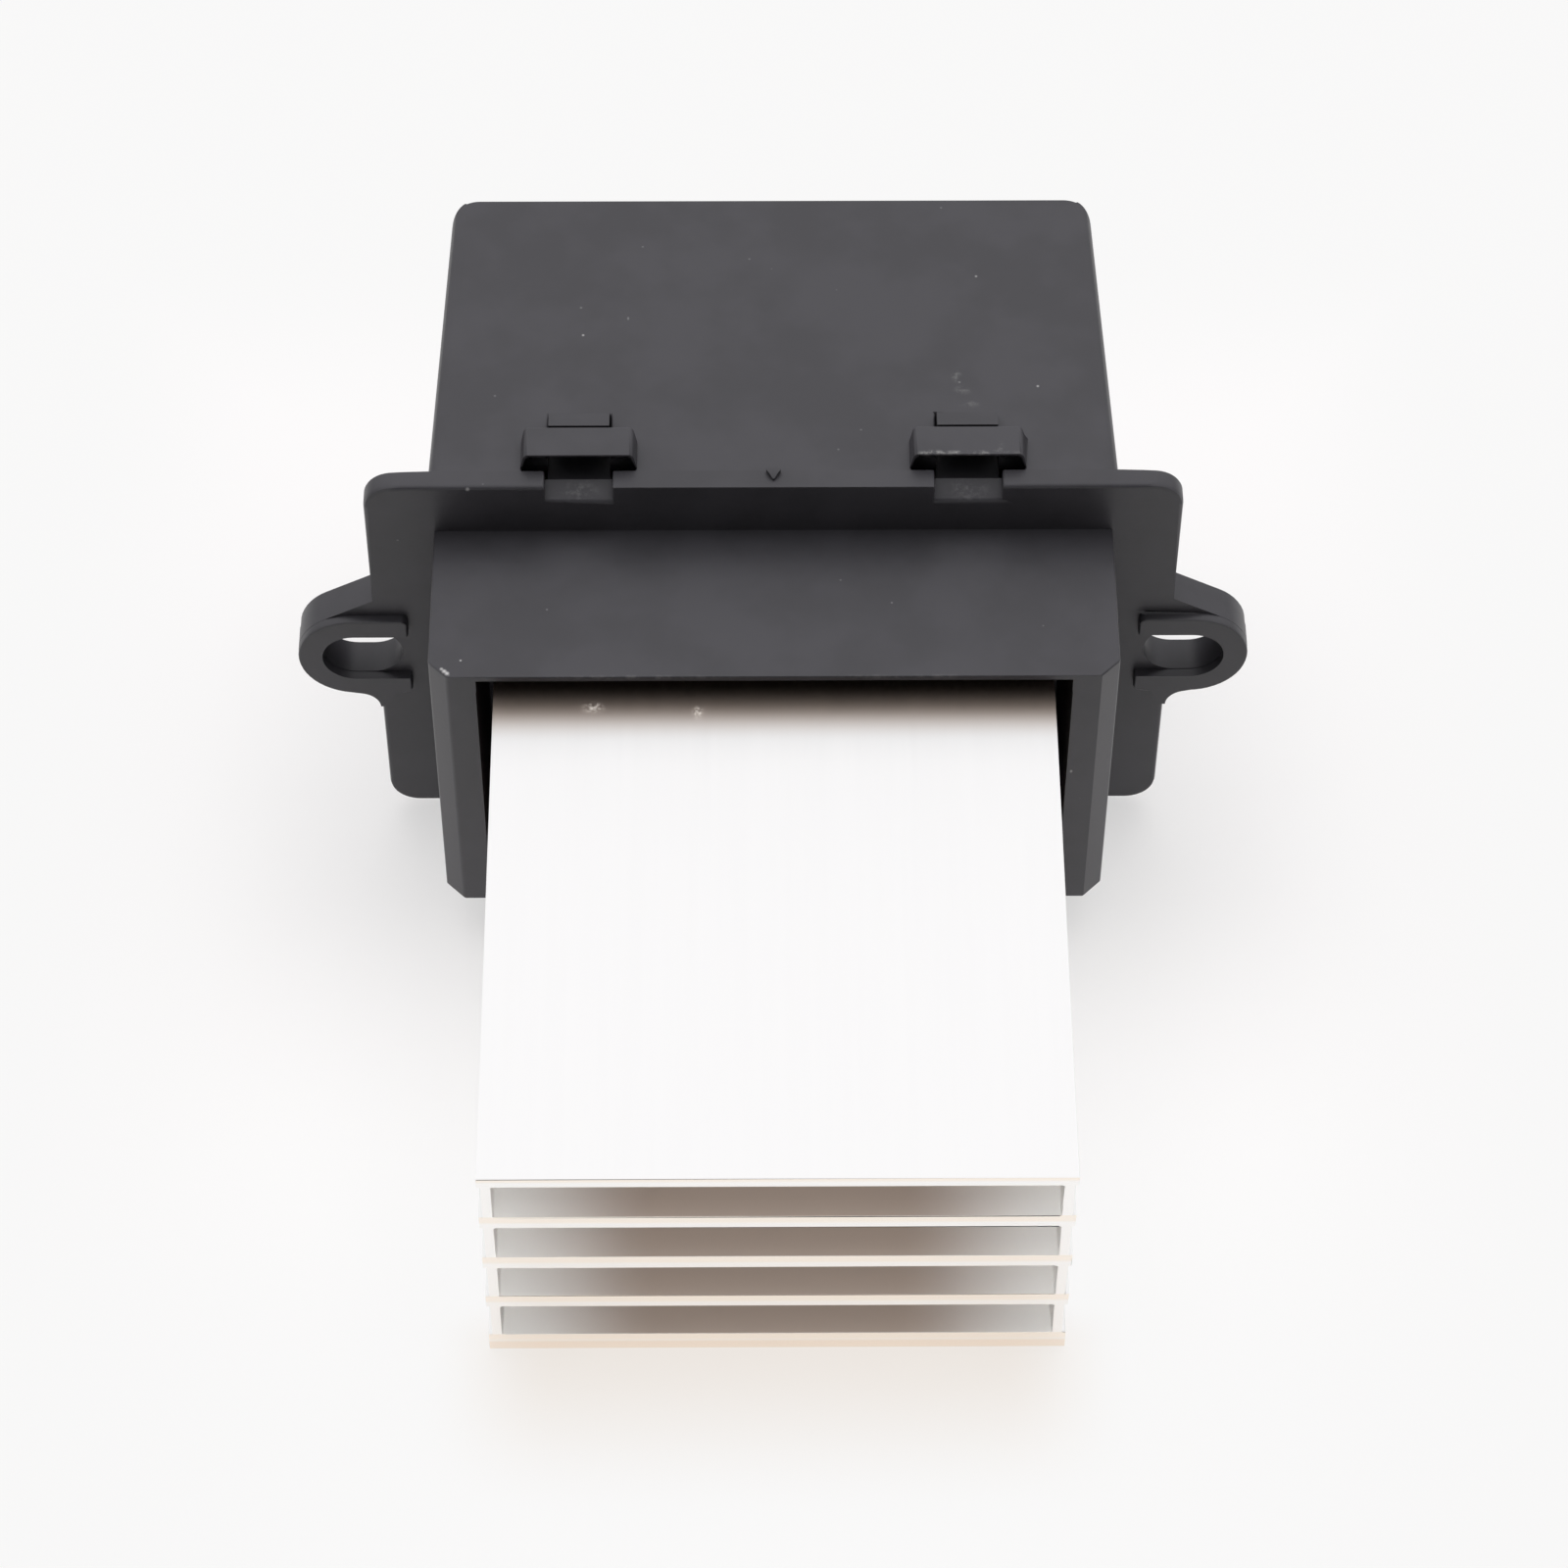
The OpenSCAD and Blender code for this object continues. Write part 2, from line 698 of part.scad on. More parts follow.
module rear_cover() {
    blades = [
        [-power_pitch / 2, power_w], [-signal_pitch / 2, signal_w],
        [signal_pitch / 2, signal_w], [power_pitch / 2, power_w]
    ];
    color(plastic) {
        difference() {
            union() {
                difference() {
                    cover_block();
                    linear_extrude(height = 2 * cover_in, center = true)
                        tapered_plan(cover_wall, flange_back - over, cover_back - cover_wall);
                }
                translate([-socket_w / 2 - socket_wall, socket_y, socket_z - socket_h / 2 - socket_wall])
                    cube([socket_w + 2 * socket_wall, cover_back - cover_wall / 2 - socket_y,
                          socket_h + 2 * socket_wall]);
                for (sx = [0, 1], sz = [0, 1])
                    mirror([sx, 0, 0]) mirror([0, 0, sz])
                        along_y(loop_y, loop_back) loop_2d(0, cover_top - over);
            }
            for (sx = [0, 1], sz = [0, 1])
                mirror([sx, 0, 0]) mirror([0, 0, sz]) loop_passage();
            translate([0, 0, socket_z])
                along_y(socket_y + socket_wall, cover_back + over) rect_2d(socket_w, socket_h, socket_r);
            for (b = blades)
                translate([b.x - b.y / 2 - pin_fit, socket_y - over, socket_z - blade_t / 2 - pin_fit])
                    cube([b.y + 2 * pin_fit, socket_wall + 2 * over, blade_t + 2 * pin_fit]);
        }
        socket_keys();
    }
}

module heat_sink() {
    channel_w = sink_w - 2 * (fin_lip + sink_wall);
    fin_pitch = fin_t + channel_h;
    fins = [
        [0, base_t], [sink_h - top_t, top_t],
        for (i = [1 : fin_count - 2]) [base_t - fin_t + i * fin_pitch, fin_t]
    ];
    color(metal)
        difference() {
            along_y(sink_y, sink_tail)
                translate([0, sink_bottom])
                    difference() {
                        union() {
                            translate([fin_lip - sink_w / 2, 0]) square([sink_w - 2 * fin_lip, sink_h]);
                            for (fin = fins)
                                translate([-sink_w / 2, fin.x]) square([sink_w, fin.y]);
                        }
                        for (i = [0 : fin_count - 2])
                            translate([0, base_t + i * fin_pitch + channel_h / 2])
                                rect_2d(channel_w, channel_h, channel_r);
                    }
            // Holes for the transistors' screws
            for (s = [-1, 1])
                translate([s * transistor_pitch / 2, tab_hole_y, sink_top - top_t - over])
                    cylinder(d = tab_screw_d + 2 * screw_fit, h = top_t + 2 * over);
            // Holes for the screws through the frame's lugs
            for (s = [0, 1])
                mirror([s, 0, 0])
                    translate([sink_w / 2 - fin_lip - sink_wall - over, lug_y, lug_z]) rotate([0, 90, 0])
                        cylinder(d = tap_screw_d + pin_fit, h = sink_wall + 2 * over);
        }
}

module circuit_board() {
    pin_hole = cutoff_lead + 2 * pin_fit;
    color(board_green)
        along_y(board_y, board_back)
            difference() {
                translate([0, (board_top + board_bottom) / 2])
                    rect_2d(2 * board_half, board_top - board_bottom, board_r);
                for (p = post_places)
                    translate(p) circle(d = tap_screw_d + 2 * screw_fit);
                for (s = [-1, 1], i = [-1 : 1])
                    translate([s * transistor_pitch / 2 + i * lead_pitch, lead_z]) circle(d = lead_hole);
                for (s = [-1, 1]) {
                    translate([s * cutoff_pitch / 2, sink_top + cutoff_h / 2]) circle(d = pin_hole);
                    translate([cap_x + s * cap_pitch / 2, parts_z]) circle(d = pin_hole);
                    translate([s * power_pitch / 2, socket_z])
                        square([power_w / 2 + 2 * pin_fit, blade_t + 2 * pin_fit], center = true);
                    translate([s * signal_pitch / 2, socket_z])
                        square([signal_w / 2 + 2 * pin_fit, blade_t + 2 * pin_fit], center = true);
                    translate([shunt_x + s * (shunt_len - shunt_t) / 2, parts_z])
                        square([shunt_t + 2 * pin_fit, shunt_w + 2 * pin_fit], center = true);
                }
            }
}

// Power transistor lying on the top fin at x, with its leads through the board
module transistor(x) {
    body_y = tab_y + tab_len;
    color(black)
        translate([x, 0, 0]) {
            difference() {
                translate([-transistor_w / 2, tab_y, tab_z]) cube([transistor_w, tab_len + over, tab_t]);
                translate([0, tab_hole_y, tab_z - over])
                    cylinder(d = tab_screw_d + 2 * screw_fit, h = tab_t + 2 * over);
            }
            along_x(0, transistor_w)
                polygon([
                    [body_y, tab_z], [body_y + body_len, tab_z],
                    [body_y + body_len, tab_z + body_h - body_bevel],
                    [body_y + body_len - body_bevel, tab_z + body_h], [body_y + body_bevel, tab_z + body_h]
                ]);
            for (i = [-1 : 1])
                translate([i * lead_pitch - lead_w / 2, body_y + body_len - over, lead_z - lead_t / 2])
                    cube([lead_w, lead_end - body_y - body_len + over, lead_t]);
        }
}

module transistor_left() { transistor(-transistor_pitch / 2); }
module transistor_right() { transistor(transistor_pitch / 2); }

// Insulating pad under the transistor at x
module insulating_pad(x) {
    color("#d8d2c2")
        translate([x, 0, sink_top])
            difference() {
                translate([-transistor_w / 2 - over, tab_y - over / 2, 0])
                    cube([transistor_w + 2 * over, tab_len + body_len + over, pad_t]);
                translate([0, tab_hole_y, -over])
                    cylinder(d = tab_screw_d + 2 * screw_fit, h = pad_t + 2 * over);
            }
}

module insulating_pad_left() { insulating_pad(-transistor_pitch / 2); }
module insulating_pad_right() { insulating_pad(transistor_pitch / 2); }

module transistor_screws() {
    color(metal)
        for (s = [-1, 1])
            translate([s * transistor_pitch / 2, tab_hole_y, tab_z + tab_t])
                pan_screw(tab_screw_d, tab_t + pad_t + top_t + nut_h);
}

module transistor_nuts() {
    color(metal)
        for (s = [-1, 1])
            translate([s * transistor_pitch / 2, tab_hole_y, sink_top - top_t - nut_h])
                difference() {
                    cylinder(d = 2 * tab_screw_d, h = nut_h, $fn = 6);
                    translate([0, 0, -over]) cylinder(d = tab_screw_d + pin_fit, h = nut_h + 2 * over);
                }
}

module heat_sink_screws() {
    color(metal)
        for (s = [0, 1])
            mirror([s, 0, 0]) translate([lug_out - lug_head, lug_y, lug_z]) rotate([0, 90, 0])
                pan_screw(tap_screw_d, lug_out - lug_head - sink_w / 2 + fin_lip + sink_wall + over);
}

module board_screws() {
    color(metal)
        for (p = post_places)
            translate([p.x, board_back, p.y]) rotate([-90, 0, 0])
                pan_screw(tap_screw_d - pin_fit, board_t + board_screw_len);
}

// Blade terminal at x: tail through the board, shoulder on the board, blade in the socket
module blade(x, w) {
    tip = cover_back - blade_short;
    tail = w / 4;
    half = w / 2;
    wide = half + shoulder_w;
    side = [
        [tail, board_y - pin_stub], [tail, board_back],
        [wide, board_back], [wide, board_back + shoulder_len],
        [half, board_back + shoulder_len], [half, tip - tail], [half - tail / 2, tip]
    ];
    color(tin)
        translate([x, 0, socket_z - blade_t / 2])
            linear_extrude(height = blade_t)
                polygon(concat(side, [for (i = [len(side) - 1 : -1 : 0]) [-side[i].x, side[i].y]]));
}

module power_blade_left() { blade(-power_pitch / 2, power_w); }
module power_blade_right() { blade(power_pitch / 2, power_w); }
module signal_blade_left() { blade(-signal_pitch / 2, signal_w); }
module signal_blade_right() { blade(signal_pitch / 2, signal_w); }

// Electrolytic capacitor, standing on the rear of the board
module filter_capacitor() {
    r = cap_d / 2;
    groove = cap_d / 20;
    color("#23304a")
        translate([cap_x, board_back, parts_z]) rotate([-90, 0, 0]) {
            rotate_extrude()
                polygon([
                    [0, 0], [r, 0], [r, 3 * groove], [r - groove, 4 * groove], [r - groove, 5 * groove],
                    [r, 6 * groove],
                    [r, cap_len - groove], [r - groove, cap_len], [0, cap_len]
                ]);
            for (s = [-1, 1])
                translate([s * cap_pitch / 2, 0, -board_t - pin_stub])
                    cylinder(d = cutoff_lead, h = board_t + pin_stub + over);
        }
}

// Bent strip that measures the blower's current
module current_shunt() {
    out = shunt_len / 2;
    color("#a9825a")
        translate([shunt_x, 0, parts_z - shunt_w / 2])
            linear_extrude(height = shunt_w)
                difference() {
                    translate([-out, board_y - pin_stub]) square([shunt_len, board_t + pin_stub + shunt_h]);
                    translate([shunt_t - out, board_y - pin_stub - over])
                        square([shunt_len - 2 * shunt_t, board_t + pin_stub + over + shunt_h - shunt_t]);
                }
}

// Chip with gull-wing leads on the rear of the board, at x and z
module chip(x, z, l, w, h, leads) {
    step = l / leads;
    translate([x, board_back, z]) {
        translate([-l / 2, pin_fit, -w / 2]) cube([l, h, w]);
        for (i = [0 : leads - 1], s = [-1, 1])
            translate([(i + 0.5) * step - l / 2 - step / 6, 0, s > 0 ? w / 2 - over : -w / 2 - foot_len])
                cube([step / 3, foot_t, foot_len + over]);
    }
}

module control_chip() { color(black) chip(0, parts_z, chip_l, chip_w, chip_h, chip_leads); }
module protection_diode() {
    color(black) chip(diode_x, parts_z - shunt_w - diode_w, diode_l, diode_w, diode_h, diode_leads);
}

// Row of small ceramic blocks on the rear of the board, at a height above or below the chip
module block_row(rise, count, w, h) {
    for (i = [0 : count - 1])
        translate([i * 2 * w - chip_l / 2, board_back, parts_z + rise - small_l / 2])
            cube([w, h, small_l]);
}

module chip_resistors() {
    color("#2b2b2b")
        block_row(chip_w + foot_len, resistor_count, small_l / 2, small_l / 3);
}

module chip_capacitors() {
    color("#b79a72")
        block_row(-chip_w - foot_len, ceramic_count, small_l * 0.6, small_l / 2);
}

// Thermal cutoff on the top fin
module thermal_cutoff() {
    color("#e6e1d6")
        translate([0, cutoff_y, sink_top]) {
            along_y(0, cutoff_len) translate([0, cutoff_h / 2]) rect_2d(cutoff_w, cutoff_h, cutoff_h / 4);
            for (s = [-1, 1])
                translate([s * cutoff_pitch / 2, cutoff_len - over, cutoff_h / 2]) rotate([-90, 0, 0])
                    cylinder(d = cutoff_lead, h = lead_end - cutoff_y - cutoff_len + over);
        }
}

front_frame();
rear_cover();
heat_sink();
circuit_board();
transistor_left();
transistor_right();
insulating_pad_left();
insulating_pad_right();
transistor_screws();
transistor_nuts();
heat_sink_screws();
board_screws();
power_blade_left();
power_blade_right();
signal_blade_left();
signal_blade_right();
filter_capacitor();
current_shunt();
control_chip();
protection_diode();
chip_resistors();
chip_capacitors();
thermal_cutoff();
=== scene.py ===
import bpy, math
from mathutils import Matrix, Vector


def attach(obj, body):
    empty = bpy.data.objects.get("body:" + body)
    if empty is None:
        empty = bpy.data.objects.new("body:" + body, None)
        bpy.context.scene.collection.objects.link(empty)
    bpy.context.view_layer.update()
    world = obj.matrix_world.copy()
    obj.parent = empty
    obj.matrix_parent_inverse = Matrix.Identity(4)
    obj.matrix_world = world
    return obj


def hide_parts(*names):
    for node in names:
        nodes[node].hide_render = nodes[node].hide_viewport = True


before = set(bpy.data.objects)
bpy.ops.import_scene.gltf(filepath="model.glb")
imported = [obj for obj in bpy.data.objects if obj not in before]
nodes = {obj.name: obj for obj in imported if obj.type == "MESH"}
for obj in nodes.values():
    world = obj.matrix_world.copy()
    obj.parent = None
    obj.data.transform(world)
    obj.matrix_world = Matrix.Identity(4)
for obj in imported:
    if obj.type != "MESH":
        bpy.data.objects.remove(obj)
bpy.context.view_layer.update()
scene = bpy.context.scene
scene.view_settings.view_transform = "Standard"
mm = 0.001
print("frame loaded,", len(nodes), "nodes")


class wire:  # a socket in a node tree, with sums written as sums
    def __init__(self, tree, out=None):
        self.tree = tree
        self.out = out

    def node(self, kind, settings=None, sockets=None, out=0):
        made = self.tree.nodes.new(kind)
        for name, value in (settings or {}).items():
            setattr(made, name, value)
        for name, value in (sockets or {}).items():
            if isinstance(value, wire):
                self.tree.links.new(value.out, made.inputs[name])
            else:
                made.inputs[name].default_value = value
        return wire(self.tree, made.outputs[out] if made.outputs else None)

    def sum(self, operation, *values):
        return self.node("ShaderNodeMath", {"operation": operation}, dict(enumerate(values)))

    def __add__(self, other): return self.sum("ADD", self, other)
    def __radd__(self, other): return self.sum("ADD", other, self)
    def __sub__(self, other): return self.sum("SUBTRACT", self, other)
    def __rsub__(self, other): return self.sum("SUBTRACT", other, self)
    def __mul__(self, other): return self.sum("MULTIPLY", self, other)
    def __rmul__(self, other): return self.sum("MULTIPLY", other, self)
    def __truediv__(self, other): return self.sum("DIVIDE", self, other)
    def __gt__(self, other): return self.sum("GREATER_THAN", self, other)


def colour(red, green, blue):
    return (red, green, blue, 1)


def mixed(mask, low, high):  # colours by a mask
    return mask.node("ShaderNodeMix", {"data_type": "RGBA"}, {0: mask, 6: low, 7: high}, out=2)


def span(value, low, high):  # 0 at low, 1 at high, smooth between
    return value.node("ShaderNodeMapRange", {"interpolation_type": "SMOOTHSTEP"},
                      {"Value": value, "From Min": low, "From Max": high})


def capped(value):  # at most 1
    return value.sum("MINIMUM", value, 1)


def noise(place, scale, detail, rough):
    return place.node("ShaderNodeTexNoise", {}, {"Vector": place, "Scale": scale, "Detail": detail, "Roughness": rough})


def stretched(place, scale):
    return place.node("ShaderNodeMapping", {}, {"Vector": place, "Scale": scale})


def newMaterial(name):
    material = bpy.data.materials.new(name)
    material.use_nodes = True
    material.node_tree.nodes.clear()
    start = wire(material.node_tree)
    place = stretched(start.node("ShaderNodeTexCoord", out="Object"), (1 / mm, 1 / mm, 1 / mm))  # millimetres
    return material, start, place


def closeMaterial(start, sockets):
    shader = start.node("ShaderNodeBsdfPrincipled", {}, sockets)
    start.node("ShaderNodeOutputMaterial", {}, {"Surface": shader})


def axes(place):
    return [place.node("ShaderNodeSeparateXYZ", {}, {"Vector": place}, out=i) for i in range(3)]


def near(place, spot, size, stretch):  # 1 at a spot, fading out over its size
    moved = place.node("ShaderNodeVectorMath", {"operation": "SUBTRACT"}, {0: place, 1: spot})
    scaled = place.node("ShaderNodeVectorMath", {"operation": "DIVIDE"}, {0: moved, 1: stretch})
    reach = place.node("ShaderNodeVectorMath", {"operation": "LENGTH"}, {0: scaled}, out="Value")
    return 1 - span(reach, 0, size)


def worn(place, marks, texture=1):  # marks added up, each a spot, its size, its stretch and its amount
    total = 0
    for spot, size, stretch, amount in marks:
        total = near(place, spot, size, stretch) * texture * amount + total
    return total


def bumped(start, height, strength, distance):
    return start.node("ShaderNodeBump", {}, {"Height": height, "Strength": strength, "Distance": distance})


# Moulded plastic of the frame and the cover
plastic = {
    "dark": (0.0385, 0.0372, 0.0420), "light": (0.0470, 0.0454, 0.0515), "dustAndSheenGrey": (0.30, 0.30, 0.29),
    "bare": (0.62, 0.61, 0.60), "cloud": (0.11, 3, 0.6), "grain": (2.6, 3, 0.65), "pit": (7.0, 1, 0.5),
    "torn": (1.1, 4, 0.7), "cloudSpan": (0.35, 0.65), "tornSpan": (0.42, 0.66),
    "speckScale": 0.5, "speckSpan": (0.03, 0.075), "speckChance": 0.93, "speckAmount": 0.25,
    "roughness": 0.34, "cloudRough": 0.10, "grainRough": 0.05, "dustRough": 0.2, "specular": 0.43,
    "grainHeight": 0.7, "pitHeight": 0.3, "bump": (0.30, 0.00003),
}


def plasticMaterial(name, marks, seed):
    material, start, place = newMaterial(name)
    shifted = start.node("ShaderNodeMapping", {}, {"Vector": place, "Location": (seed, 0, 0)})
    cloud, grain, pit, torn = (noise(shifted, *plastic[key]) for key in ("cloud", "grain", "pit", "torn"))
    base = mixed(span(cloud, *plastic["cloudSpan"]), colour(*plastic["dark"]), colour(*plastic["light"]))
    cells = {"Vector": shifted, "Scale": plastic["speckScale"], "Randomness": 1}
    apart, pick = (start.node("ShaderNodeTexVoronoi", {"feature": "F1"}, cells, out=out) for out in ("Distance", "Color"))
    chance = start.node("ShaderNodeSeparateColor", {}, {"Color": pick}, out=0)
    specks = (1 - span(apart, *plastic["speckSpan"])) * (chance > plastic["speckChance"])
    # smudges are dust marks, and along the collar's lip they are also a painted highlight
    smudgedAndSheen = worn(place, marks["smudgesAndSheen"], span(torn, *plastic["tornSpan"]))
    dustAndSheen = capped(specks * plastic["speckAmount"] + smudgedAndSheen)
    chipped = capped(worn(place, marks["chips"]))
    rough = plastic["roughness"] + plastic["cloudRough"] * cloud + plastic["grainRough"] * grain
    height = grain * plastic["grainHeight"] + pit * plastic["pitHeight"]
    closeMaterial(start, {
        "Base Color": mixed(chipped, mixed(dustAndSheen, base, colour(*plastic["dustAndSheenGrey"])), colour(*plastic["bare"])),
        "Roughness": rough + plastic["dustRough"] * dustAndSheen, "Specular IOR Level": plastic["specular"],
        "Normal": bumped(start, height, *plastic["bump"]),
    })
    return material


# Extruded aluminium of the heat sink
extrusion = {
    "base": (0.98, 0.977, 0.962), "warmShade": (0.74, 0.62, 0.53), "warmShadeSpan": (16.5, 21.0),
    "sawn": (1.0, 0.925, 0.84), "sawnLow": (1.0, 0.985, 0.97), "sawnFootShade": (0.97, 0.865, 0.765),
    "finZ": 0.35, "pitch": 6.3, "fin": 1.7, "creamFrom": (0.35, 0.6), "creamTo": (1.0, 1.06), "footShadeSpan": (-11.9, -11.3),
    "channel": (0.46, 0.38, 0.325), "channelEnd": (1.0, 0.99, 0.965), "litEndSpan": (10.0, 25.5),
    "frontSpan": (-66.58, -66.50), "topSpan": (13.65, 13.95), "bottomSpan": (-12.75, -12.45), "sideSpan": (24.4, 24.7),
    "drawn": ((3.0, 0.035, 3.0), 3), "fine": ((14.0, 0.2, 14.0), 2), "stroke": ((2.5, 5.0, 1.0), 2),
    "saw": ((0.25, 1.0, 16.0), 2), "streakRough": 0.6,
    "scratch": (0.90, 0.82, 0.74), "scratchSpan": (0.46, 0.56),
    "scratches": [((-16.1, -17.0, 14.15), 1.4, (1.0, 0.6, 1), 1.3), ((-6.8, -17.6, 14.15), 1.2, (0.6, 0.8, 1), 1.3)],
    "channelDull": 0.95, "scratchDull": 0.8,
    "roughness": 0.39, "drawnRough": 0.10, "fineRough": 0.04, "sawRough": 0.06, "sawnSmooth": 0.18, "channelRough": 0.15,
    "drawnHeight": 0.5, "fineHeight": 0.25, "bump": (0.12, 0.00002),
}


def aluminiumMaterial(name):
    material, start, place = newMaterial(name)
    spec = extrusion
    x, y, z = axes(place)
    out = start.sum("ABSOLUTE", x)
    streaks = (spec[key] for key in ("drawn", "fine", "stroke", "saw"))
    drawn, fine, stroke, saw = (noise(stretched(place, scale), 1, detail, spec["streakRough"]) for scale, detail in streaks)
    sawn = 1 - span(y, *spec["frontSpan"])
    level = start.sum("FRACT", (z - spec["finZ"]) / spec["pitch"]) * (spec["pitch"] / spec["fin"])  # 0 to 1 up a fin
    # painted shade on the sawn fronts: the upper part of each fin front is cream against a whiter lower part, and the
    # bottom fin's foot is painted warmer and darker
    creamShade = span(level, *spec["creamFrom"]) * (1 - span(level, *spec["creamTo"]))
    paintedCut = mixed(creamShade, colour(*spec["sawnLow"]), colour(*spec["sawn"]))
    paintedCut = mixed(1 - span(z, *spec["footShadeSpan"]), paintedCut, colour(*spec["sawnFootShade"]))
    between = (1 - span(z, *spec["topSpan"])) * span(z, *spec["bottomSpan"])
    within = between * (1 - span(out, *spec["sideSpan"])) * (1 - sawn)
    # painted shade and light in the channels between the fins: dark brown in the middle, pale near the side walls
    channel = mixed(span(out, *spec["litEndSpan"]), colour(*spec["channel"]), colour(*spec["channelEnd"]))
    # painted shade: the skin from the collar out to about 5 mm in front of it is painted warm and dark, standing in for
    # the collar's shadow and reflection
    skin = mixed(1 - span(0 - y, *spec["warmShadeSpan"]), colour(*spec["base"]), colour(*spec["warmShade"]))
    scratched = capped(worn(place, spec["scratches"], span(stroke, *spec["scratchSpan"])))
    skin = mixed(scratched, skin, colour(*spec["scratch"]))
    drawnRough = (spec["drawnRough"] * drawn + spec["fineRough"] * fine) * (1 - sawn)
    sawnRough = (spec["sawRough"] * saw - spec["sawnSmooth"]) * sawn
    height = (drawn * spec["drawnHeight"] + fine * spec["fineHeight"]) * (1 - sawn)
    closeMaterial(start, {
        "Base Color": mixed(sawn, mixed(within, skin, channel), paintedCut),
        "Metallic": 1 - spec["channelDull"] * within - spec["scratchDull"] * scratched,
        "Roughness": spec["roughness"] + drawnRough + sawnRough + spec["channelRough"] * within,
        "Normal": bumped(start, height, *spec["bump"]),
    })
    return material


# Pieces with rounded edges that stand for the three big nodes
rounding = {"merge": 0.002 * mm, "flat": math.radians(0.6), "leastTurn": math.radians(24), "smooth": math.radians(40),
            "probes": (0.08, 0.3, 0.7, 0.92), "leastReach": 1e-7}


def roomAcross(mesh, face, first, second):  # how far a face reaches from one of its edges
    corners = list(face.vertices)
    at = corners.index(first)
    if corners[(at + 1) % len(corners)] != second:
        first, second = second, first
    start, end = mesh.vertices[first].co, mesh.vertices[second].co
    along = (end - start).normalized()
    inward = face.normal.cross(along)
    offsets = [mesh.vertices[i].co - start for i in corners]
    flat = [(offset.dot(along), offset.dot(inward)) for offset in offsets]
    least = 1.0
    for share in rounding["probes"]:
        u = share * (end - start).length
        for (u0, v0), (u1, v1) in zip(flat, flat[1:] + flat[:1]):
            if (u0 - u) * (u1 - u) < 0:
                v = v0 + (v1 - v0) * (u - u0) / (u1 - u0)
                if rounding["leastReach"] < v < least:
                    least = v
    return least


def weighEdges(mesh, spec, shareAt):  # only edges that stand out are rounded, and no more than their faces have room for
    sides = {}
    for face in mesh.polygons:
        for key in face.edge_keys:
            sides.setdefault(key, []).append(face)
    weight = mesh.attributes.new("bevel_weight_edge", "FLOAT", "EDGE")
    for edge in mesh.edges:
        faces = sides[tuple(sorted(edge.vertices))]
        if len(faces) != 2 or faces[0].normal.angle(faces[1].normal, 0) < rounding["leastTurn"]:
            continue
        a, b = (mesh.vertices[i].co for i in edge.vertices)
        heights = [(mesh.vertices[i].co - a).dot(faces[0].normal) for i in faces[1].vertices]
        hollow = max(heights, key=abs) > 0
        room = min(roomAcross(mesh, face, *edge.vertices) for face in faces)
        if not hollow and room > spec["leastRoom"]:
            most = spec["mostOfRoom"] * room / spec["width"]
            weight.data[edge.index].value = shareAt((a + b) / 2 / mm, (b - a).normalized(), most)


def roundedCopy(node, name, spec, shareAt, fit=None):
    bpy.ops.object.select_all(action="DESELECT")
    piece = bpy.data.objects.new(name, nodes[node].data.copy())
    scene.collection.objects.link(piece)
    bpy.context.view_layer.objects.active = piece
    piece.select_set(True)
    bpy.ops.mesh.customdata_custom_splitnormals_clear()
    bpy.ops.object.mode_set(mode="EDIT")
    bpy.ops.mesh.select_all(action="SELECT")
    bpy.ops.mesh.remove_doubles(threshold=rounding["merge"])
    bpy.ops.mesh.dissolve_limited(angle_limit=rounding["flat"])
    bpy.ops.object.mode_set(mode="OBJECT")
    if fit:
        fit(piece)
    weighEdges(piece.data, spec, shareAt)
    bevel = piece.modifiers.new("edges", "BEVEL")
    bevel.limit_method = "WEIGHT"
    bevel.width = spec["width"]
    bevel.segments = spec["segments"]
    bevel.use_clamp_overlap = False
    bpy.ops.object.modifier_apply(modifier="edges")
    bpy.ops.object.shade_smooth_by_angle(angle=rounding["smooth"])
    normals = piece.modifiers.new("normals", "WEIGHTED_NORMAL")
    normals.keep_sharp = True
    bpy.ops.object.modifier_apply(modifier="normals")
    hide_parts(node)
    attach(piece, "root")
    print(name, len(piece.data.polygons), "faces")
    return piece


def finish(piece, material):
    piece.data.materials.clear()
    piece.data.materials.append(material)


def widened(piece, centre, across, picked):  # moves the picked corners out from an axis along Y
    bpy.ops.object.mode_set(mode="EDIT")
    bpy.ops.mesh.select_mode(type="VERT")
    bpy.ops.mesh.select_all(action="DESELECT")
    bpy.ops.object.mode_set(mode="OBJECT")
    for corner in piece.data.vertices:
        corner.select = picked(corner.co / mm)
    bpy.ops.object.mode_set(mode="EDIT")
    bpy.ops.transform.resize(value=across, center_override=centre, orient_type="GLOBAL")
    bpy.ops.object.mode_set(mode="OBJECT")


